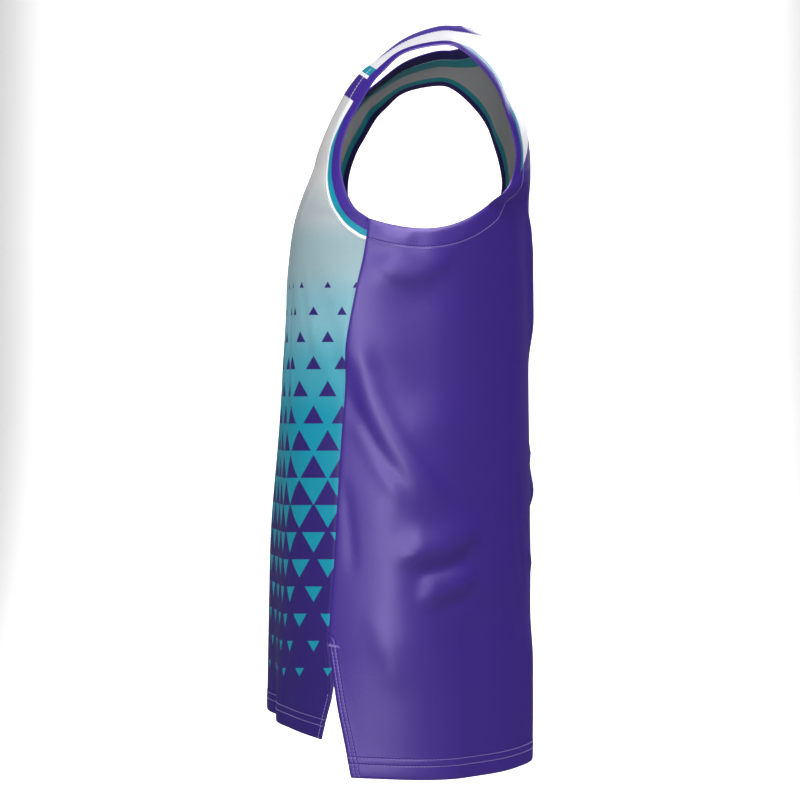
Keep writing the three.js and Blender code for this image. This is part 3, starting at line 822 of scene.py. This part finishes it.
def front_print():
    nodes = Nodes("front_print")
    _, height = nodes.map("print")
    arm, neck = nodes.map("edges")
    hem, vent = nodes.map("hems")
    side, shoulder = nodes.map("seams")
    colour = triangles(nodes, ground(nodes, height))
    colour = nodes.mix(nodes.below(arm, STRIPE_WHITE * MM), colour, WHITE)
    teal_share = nodes.math("SUBTRACT", 1.0, nodes.ramp_between(height, -125 * MM, -80 * MM))
    teal_width = nodes.math("MULTIPLY", teal_share, (STRIPE_TEAL - STRIPE_PURPLE) * MM)
    colour = nodes.mix(nodes.below(arm, nodes.math("ADD", teal_width, STRIPE_PURPLE * MM)), colour, TEAL)
    colour = nodes.mix(nodes.below(shoulder, PATCH_PURPLE * MM), colour, PURPLE)
    colour = nodes.mix(nodes.below(shoulder, PATCH_WHITE * MM), colour, WHITE)
    colour = nodes.mix(nodes.below(shoulder, PATCH_TEAL * MM), colour, TEAL)
    colour = nodes.mix(nodes.below(arm, STRIPE_PURPLE * MM), colour, PURPLE)
    grooves = [nodes.groove(arm, FRONT_ARM_STITCH * MM), nodes.groove(neck, NECK_STITCH * MM)]
    grooves += [nodes.groove(hem, at * MM) for at in HEM_STITCHES]
    grooves += [nodes.groove(vent, VENT_STITCHES[0] * MM), nodes.groove(side, 0.0, 0.0016)]
    grooves.append(nodes.groove(shoulder, 0.0, 0.0016))
    knit_bump(nodes, grooves)
    return nodes.finish(knit_colour(nodes, colour), 0.45, 0.05, (0.9, 0.95, 1, 1), 0.4)


def arch_height(x):
    """The height of the white yoke's lower edge at a distance from the centre back."""
    return ARCH_TOP - ARCH_DROP * (np.abs(x) / ARCH_REACH) ** ARCH_POWER


def back_print():
    nodes = Nodes("back_print")
    _, height = nodes.map("print")
    arm, neck = nodes.map("edges")
    hem, vent = nodes.map("hems")
    side, shoulder = nodes.map("seams")
    x, y = nodes.map("place")
    reach = nodes.math("DIVIDE", nodes.math("ABSOLUTE", x), ARCH_REACH * MM)
    drop = nodes.math("MULTIPLY", nodes.math("POWER", reach, ARCH_POWER), ARCH_DROP * MM)
    over_arch = nodes.math("ADD", nodes.math("SUBTRACT", height, ARCH_TOP * MM), drop)
    white_yoke = nodes.ramp_between(over_arch, -0.0004, 0.0004)
    colour = nodes.mix(white_yoke, BACK_PURPLE, WHITE)
    teal_width = nodes.math("MULTIPLY", nodes.ramp_between(y, 10 * MM, 30 * MM), (STRIPE_TEAL_BACK - STRIPE_PURPLE) * MM)
    on_yoke = nodes.math("MULTIPLY", white_yoke, nodes.below(arm, nodes.math("ADD", teal_width, STRIPE_PURPLE * MM)))
    colour = nodes.mix(on_yoke, colour, TEAL)
    colour = nodes.mix(nodes.below(arm, STRIPE_PURPLE * MM), colour, BACK_PURPLE)
    grooves = [nodes.groove(arm, BACK_ARM_STITCH * MM), nodes.groove(neck, NECK_STITCH * MM)]
    grooves += [nodes.groove(hem, at * MM) for at in HEM_STITCHES]
    grooves += [nodes.groove(vent, at * MM) for at in VENT_STITCHES]
    grooves += [nodes.groove(side, 0.0, 0.0016), nodes.groove(shoulder, 0.0, 0.0016)]
    knit_bump(nodes, grooves)
    return nodes.finish(knit_colour(nodes, colour), 0.42, 0.02, (0.72, 0.66, 1, 1), 1.0, (0.72, 0.6, 1, 1), 1.8)


def shaded_inside_cloth():
    """The unprinted inside, with the printed edges turned in round the armholes. Its white is painted mid grey and
    its purple and teal are darkened: painted shade.
    """
    nodes = Nodes("shaded_inside_cloth")
    arm, _ = nodes.map("edges")
    colour = nodes.mix(nodes.below(arm, INSIDE_STRIPE_TEAL * MM), SHADED_INSIDE_GREY, SHADED_INSIDE_TEAL)
    colour = nodes.mix(nodes.below(arm, INSIDE_STRIPE_PURPLE * MM), colour, SHADED_INSIDE_PURPLE)
    knit_bump(nodes, [nodes.groove(arm, FRONT_ARM_STITCH * MM)])
    return nodes.finish(knit_colour(nodes, colour), 0.8, 0.1, (1, 1, 1, 1), 0.2)


def plain_cloth(name, colour, roughness, sheen, tint):
    nodes = Nodes(name)
    height = nodes.math("MULTIPLY", nodes.object_noise(1100), 0.4)
    nodes.bump(height, 0.0006)
    return nodes.finish(knit_colour(nodes, colour), roughness, sheen, tint)


# Pieces

def lift_of(normal, reach):
    """How far a trim's point is lifted out of the cloth's plane, or dropped into it."""
    drop = BAND_DROP * max(normal[1] - BAND_DROP_FROM, 0)
    return (BAND_LIFT * max(normal[2], 0) - drop) * max(reach / BAND_WIDTH, 0)


def neck_trim(name, ring, normals, section, materials, inner=()):
    """A closed trim swept round the neck. Corners are (towards the neck, outwards)."""
    along = np.roll(ring, -1, axis=0) - np.roll(ring, 1, axis=0)
    inwards = np.cross(normals, along)
    inwards /= np.linalg.norm(inwards, axis=1, keepdims=True)
    points = []
    for point, normal, towards in zip(ring, normals, inwards):
        points += [point + towards * reach + normal * (out + lift_of(normal, reach)) for reach, out in section]
    count, size = len(ring), len(section)
    faces, indices = [], []
    for i in range(count):
        j = (i + 1) % count
        for k in range(size):
            m = (k + 1) % size
            faces.append((i * size + m, j * size + m, j * size + k, i * size + k))
            indices.append(1 if k in inner else 0)
    obj = new_object(name, points, faces, materials, indices)
    obj.data.set_sharp_from_angle(angle=math.radians(50))
    length = np.linalg.norm(np.roll(ring, -1, axis=0) - ring, axis=1).sum() * MM
    return obj, float(length)


def band_section():
    """A folded binding: flat at the seam, slightly puffed, and rolled at its neck edge."""
    inside = -WALL - 0.3
    outer = [(SEAM_GAP / 2, -SEAM_SINK), (1.2, 0.35), (4, BAND_PUFF), (8, BAND_PUFF), (11.5, 0.6)]
    roll = [(13.2, 0.1), (BAND_WIDTH, -0.9), (13.2, inside + 0.2)]
    return [(SEAM_GAP / 2, inside), *[(11, inside), *roll[::-1], *outer[::-1]]]


def tape_section():
    outside = -WALL - 0.4 - TAPE_CLEARANCE
    low = outside - TAPE_STAND_OFF
    return [
        (-SEAM_GAP, outside), (-TAPE_WIDTH, low),
        (-TAPE_WIDTH, low - TAPE_THICKNESS), (-SEAM_GAP, outside - TAPE_THICKNESS),
    ]


def contour(panel, field, level, below=np.inf):
    """Lines on a panel's outer skin, below a height, along which a field has one value."""
    values = panel.fields[field]
    crossing, links = {}, {}
    corner = values[panel.faces]
    cut_faces = (corner.min(1) < level) & (corner.max(1) >= level)
    cut_faces &= panel.outer[panel.faces, 2].max(1) < below
    for quad in panel.faces[cut_faces]:
        for tri in ((quad[0], quad[1], quad[2]), (quad[0], quad[2], quad[3])):
            cut = []
            for k in range(3):
                a, b = sorted((int(tri[k]), int(tri[(k + 1) % 3])))
                if (values[a] < level) != (values[b] < level):
                    cut.append((a, b))
            if len(cut) != 2:
                continue
            for a, b in cut:
                share = (level - values[a]) / (values[b] - values[a])
                place = mixed(panel.outer[a], panel.outer[b], share)
                normal = mixed(panel.normals[a], panel.normals[b], share)
                crossing[(a, b)] = (place, normal)
            links.setdefault(cut[0], []).append(cut[1])
            links.setdefault(cut[1], []).append(cut[0])
    lines, seen = [], set()
    starts = [key for key in links if len(links[key]) == 1] + list(links)
    for start in starts:
        if start in seen:
            continue
        line, at = [], start
        while at is not None:
            seen.add(at)
            line.append(crossing[at])
            at = next((other for other in links[at] if other not in seen), None)
        if len(line) > 3:
            lines.append(line)
    return lines


def stitches_on(line):
    """Places, directions and normals of stitches at even steps along a line."""
    place = np.array([p for p, _ in line])
    normal = np.array([n for _, n in line])
    length = np.concatenate([[0], np.cumsum(np.linalg.norm(np.diff(place, axis=0), axis=1))])
    if length[-1] < 3 * STITCH_PITCH:
        return []
    at = np.arange(STITCH_PITCH / 2, length[-1] - STITCH_PITCH / 2, STITCH_PITCH)

    def sample(values, where):
        return np.stack([np.interp(where, length, values[:, k]) for k in range(3)], axis=1)

    centre, up = sample(place, at), sample(normal, at)
    ahead = sample(place, at + 0.8) - sample(place, at - 0.8)
    ahead /= np.linalg.norm(ahead, axis=1, keepdims=True).clip(1e-9)
    return list(zip(centre, ahead, up / np.linalg.norm(up, axis=1, keepdims=True)))


def tack_stitches(side):
    """The close upright stitches that bar the top of a vent, on the back panel."""
    stitches = []
    end_y, height = VENT_TACK
    start_y = float(torso("back_edge", VENT_TOP))
    for y in np.arange(start_y + 1, end_y, TACK_PITCH):
        fall = TACK_FALL * (y - start_y) / (end_y - start_y)
        x, _, slope = on_torso(y, height)
        normal = np.array((side, -slope, 0.0))
        normal /= np.linalg.norm(normal)
        place = np.array((side * x, y, height - fall)) + normal * TACK_RISE
        stitches.append((place, np.array((0.0, 0.35 * side, 0.94)), normal))
    return stitches


def stitch_object(name, stitches, materials, choose):
    """All the stitches of a panel as one mesh of small tapered threads."""
    points, faces, indices = [], [], []
    rings = ((-0.5, 0.2), (-0.3, 1), (0.3, 1), (0.5, 0.2))
    for centre, ahead, up in stitches:
        aside = np.cross(up, ahead)
        base = len(points)
        for along, size in rings:
            middle = centre + ahead * along * STITCH_LENGTH + up * STITCH_RADIUS * 0.35 * size
            for turn in range(4):
                angle = math.pi * (0.25 + turn / 2)
                offset = aside * math.cos(angle) + up * math.sin(angle)
                points.append(middle + offset * STITCH_RADIUS * size)
        for ring in range(3):
            for k in range(4):
                a, b = base + ring * 4 + k, base + ring * 4 + (k + 1) % 4
                faces.append((a, b, b + 4, a + 4))
        faces.append((base + 3, base + 2, base + 1, base))
        faces.append((base + 12, base + 13, base + 14, base + 15))
        indices += [choose(centre)] * 14
    return new_object(name, points, faces, materials, indices)


def panel_stitches(panel, rows):
    stitches = []
    for field, level, below in rows:
        for line in contour(panel, field, level, below):
            stitches += stitches_on(line)
    return stitches


def build_jersey():
    front, side, back = left_grids()
    cloth = Cloth()
    ids = {}
    for mirror in (False, True):
        key = -1 if mirror else 1
        ids["front", key] = cloth.add(front, mirror, False, "front")
        ids["back", key] = cloth.add(back, mirror, True, "back")
        ids["side", key] = cloth.add(side, mirror, False, "back")
    points = np.array(cloth.points)

    front_top, back_top = row_of(FRONT_TOP), row_of(BACK_TOP)
    front_neck = front_top + (FRONT_CORNERS[0] - FRONT_TOP) * UPPER_STEPS
    back_neck = back_top + (BACK_CORNERS[0] - BACK_TOP) * UPPER_STEPS

    def nearest(lines):
        return np.min([to_line(points, points[line])[0] for line in lines], axis=0)

    arms, hems, vents, seams, shoulders, necks = [], [], [], [], [], []
    for key in (1, -1):
        f, s, b = ids["front", key], ids["side", key], ids["back", key]
        arms.append(np.concatenate([f[front_top:, -1], b[back_top:-1, -1][::-1], s[-1, :-1][::-1]]))
        hems += [f[0], b[0], s[0]]
        vents += [f[:row_of(FRONT_VENT_ROWS) + 1, -1], s[:row_of(BACK_VENT_ROWS) + 1, 0]]
        seams.append(f[row_of(FRONT_VENT_ROWS):front_top + 1, -1])
        shoulders.append(f[-1])
        necks += [f[front_neck:, 0], b[back_neck:, 0]]
    fields = {
        "x": points[:, 0],
        "y": points[:, 1],
        "arm": nearest(arms),
        "neck": nearest(necks),
        "hem": nearest(hems),
        "vent": nearest(vents),
        "side": nearest(seams),
        "shoulder": nearest(shoulders),
    }
    free_edges = np.unique(np.concatenate(arms + hems + vents))

    faces = np.concatenate(cloth.faces["front"] + cloth.faces["back"])
    plain_normals = normals_of(points, faces)
    push = fold_push(points, plain_normals, FOLDS + CREASES) + hem_puff(fields)
    pushed = points + plain_normals * push[:, None]
    normals = normals_of(pushed, faces)

    front_fields = dict(fields, across=points[:, 0].copy(), height=points[:, 2].copy())
    back_fields = dict(fields, across=points[:, 0].copy(), height=points[:, 2])
    side_length, back_length = length_across(side), length_across(back)
    for key in (1, -1):
        column, height = front_artwork(pushed[ids["front", key]], plain_normals[ids["front", key]])
        front_fields["across"][ids["front", key]] = column
        front_fields["height"][ids["front", key]] = height
        back_fields["across"][ids["back", key]] = back_length[:, -1:] - back_length
        back_fields["across"][ids["side", key]] = side_length - side_length[:, -1:]

    inside = shaded_inside_cloth()
    panels = {
        "front": Panel("front", cloth, pushed, normals, free_edges, front_fields, [front_print(), inside]),
        "back": Panel("back", cloth, pushed, normals, free_edges, back_fields, [back_print(), inside]),
    }

    def half_ring(key):
        front_half = ids["front", key][front_neck:, 0]
        return np.concatenate([front_half, ids["back", key][back_neck:-1, 0][::-1]])

    ring = np.concatenate([half_ring(1), half_ring(-1)[1:-1][::-1]])
    return panels, pushed[ring], normals[ring], (front, side, back)


def dress(panels, ring, ring_normals, grids):
    lilac = plain_cloth("lilac_thread", LILAC_THREAD, 0.45, 0.3, (1, 1, 1, 1))
    pale = plain_cloth("pale_thread", PALE_THREAD, 0.5, 0.3, (1, 1, 1, 1))
    band_cloth = plain_cloth("band_cloth", PURPLE, 0.48, 0.5, (0.72, 0.66, 1, 1))
    # Painted shade: the neckband's inner faces take a darkened purple.
    shaded_band_inside = plain_cloth("shaded_band_inside", SHADED_INSIDE_PURPLE, 0.7, 0.05, (1, 1, 1, 1))
    # Painted shade: the neck tape takes the print's teal darkened.
    tape_cloth = plain_cloth("tape_cloth", SHADED_INSIDE_TEAL, 0.7, 0.15, (1, 1, 1, 1))

    band, neck_length = neck_trim(
        "neckband_cloth", ring, ring_normals, band_section(), [band_cloth, shaded_band_inside], inner=(0, 1)
    )
    tape, _ = neck_trim("neck_tape_cloth", ring, ring_normals, tape_section(), [tape_cloth])

    def on_yoke(centre):
        return 1 if centre[2] > arch_height(centre[0]) else 0

    def on_front(centre):
        return 1 if centre[2] > TRIANGLE_BASE - 6 * TRIANGLE_ROW else 0

    front_rows = [("arm", FRONT_ARM_STITCH, np.inf), ("neck", NECK_STITCH, np.inf)]
    front_rows += [("hem", level, np.inf) for level in HEM_STITCHES]
    front_rows += [("vent", VENT_STITCHES[0], FRONT_VENT_SEWN)]
    back_rows = [("arm", BACK_ARM_STITCH, np.inf), ("neck", NECK_STITCH, np.inf)]
    back_rows += [("hem", level, np.inf) for level in HEM_STITCHES]
    back_rows += [("vent", level, VENT_TOP) for level in VENT_STITCHES]
    front_stitches = panel_stitches(panels["front"], front_rows)
    back_stitches = panel_stitches(panels["back"], back_rows)
    for side in (1, -1):
        back_stitches += tack_stitches(side)
    front_thread = stitch_object("front_stitches", front_stitches, [lilac, pale], on_front)
    back_thread = stitch_object("back_stitches", back_stitches, [lilac, pale], on_yoke)

    front_cloth, back_cloth = panels["front"].obj, panels["back"].obj
    for piece, node, slot in (
        (front_cloth, "front_panel", "front_cloth"),
        (back_cloth, "back_panel", "back_cloth"),
        (band, "neckband", "neckband_cloth"),
        (tape, "neck_tape", "tape_cloth"),
    ):
        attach(piece, ROOT)
        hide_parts(node)
    for thread, slot in ((front_thread, "front_cloth"), (back_thread, "back_cloth")):
        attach(thread, ROOT)

    def down(rows):
        centre = np.linalg.norm(np.diff(rows[:, 0], axis=0), axis=1).sum()
        edge = np.linalg.norm(np.diff(rows[:, rows.shape[1] // 2], axis=0), axis=1).sum()
        return float(max(centre, edge)) * MM

    panels["front"].area()
    panels["back"].area()


# The camera, floor and light

CAMERA_PLACE = (2.615, -0.042, -0.364)
CAMERA_LENS = 112.4
FLOOR_HEIGHT = -1.3
ROOM_REACH = 6.0


def camera():
    data = bpy.data.cameras.new("camera")
    data.lens = CAMERA_LENS
    data.sensor_width = 36
    obj = bpy.data.objects.new("camera", data)
    obj.location = CAMERA_PLACE
    obj.rotation_euler = (math.pi / 2, 0, math.pi / 2)
    bpy.context.scene.collection.objects.link(obj)
    bpy.context.scene.camera = obj


def room():
    """A pale floor that curves up into a backdrop far behind."""
    nodes = Nodes("pale_paper")
    nodes.put(nodes.shader.inputs["Base Color"], (0.9, 0.9, 0.9, 1))
    nodes.shader.inputs["Roughness"].default_value = 0.9
    nodes.shader.inputs["Emission Color"].default_value = (1, 1, 1, 1)
    place = nodes.tree.nodes.new("ShaderNodeTexCoord")
    split = nodes.tree.nodes.new("ShaderNodeSeparateXYZ")
    nodes.tree.links.new(place.outputs["Object"], split.inputs[0])
    behind = nodes.math("SUBTRACT", 1.0, nodes.ramp_between(split.outputs[0], -3.1, -2.2))
    aside = nodes.math("ABSOLUTE", split.outputs[1])
    level = nodes.math("SUBTRACT", 1.0, nodes.ramp_between(aside, 1.0, 1.5))
    nodes.put(nodes.shader.inputs["Emission Strength"], nodes.math("MULTIPLY", level, behind))
    reach = ROOM_REACH * 1000
    profile = [(reach, FLOOR_HEIGHT * 1000)]
    bend = 1500
    for i in range(13):
        angle = i / 12 * math.pi / 2
        profile.append((-reach + bend - bend * math.sin(angle), FLOOR_HEIGHT * 1000 + bend - bend * math.cos(angle)))
    profile.append((-reach, reach))
    points = [(x, y, z) for x, z in profile for y in (-2 * reach, 2 * reach)]
    faces = [(2 * i, 2 * i + 1, 2 * i + 3, 2 * i + 2) for i in range(len(profile) - 1)]
    obj = new_object("room", points, faces, [nodes.material])
    obj.visible_glossy = False


def area_light(name, place, target, size, power, colour=(1, 1, 1)):
    data = bpy.data.lights.new(name, "AREA")
    data.size = size
    data.energy = power
    data.color = colour
    obj = bpy.data.objects.new(name, data)
    obj.location = place
    direction = np.array(target, float) - np.array(place, float)
    flat = math.hypot(direction[0], direction[1])
    obj.rotation_euler = (math.atan2(flat, -direction[2]), 0, math.atan2(-direction[0], direction[1]))
    bpy.context.scene.collection.objects.link(obj)


def lights():
    world = bpy.data.worlds.new("world")
    world.use_nodes = True
    world.node_tree.nodes["Background"].inputs["Color"].default_value = (1, 1, 1, 1)
    world.node_tree.nodes["Background"].inputs["Strength"].default_value = 0.46
    bpy.context.scene.world = world
    world.cycles_visibility.glossy = False
    middle = (0, -0.03, -0.36)
    area_light("key", (2.36, -1.68, -0.2), middle, 0.9, 18)
    area_light("high", (2.25, -0.5, 1.5), middle, 0.9, 24)
    area_light("top", (1.2, 0.3, 2.3), middle, 0.8, 30)
    area_light("far", (-2.4, 0.75, 0.9), middle, 0.8, 44)
    area_light("rear", (-1.4, 2.3, 0.7), middle, 0.7, 26)
    bpy.data.objects["rear"].visible_glossy = False


bpy.context.scene.view_settings.view_transform = "Standard"
camera()
room()
lights()
dress(*build_jersey())
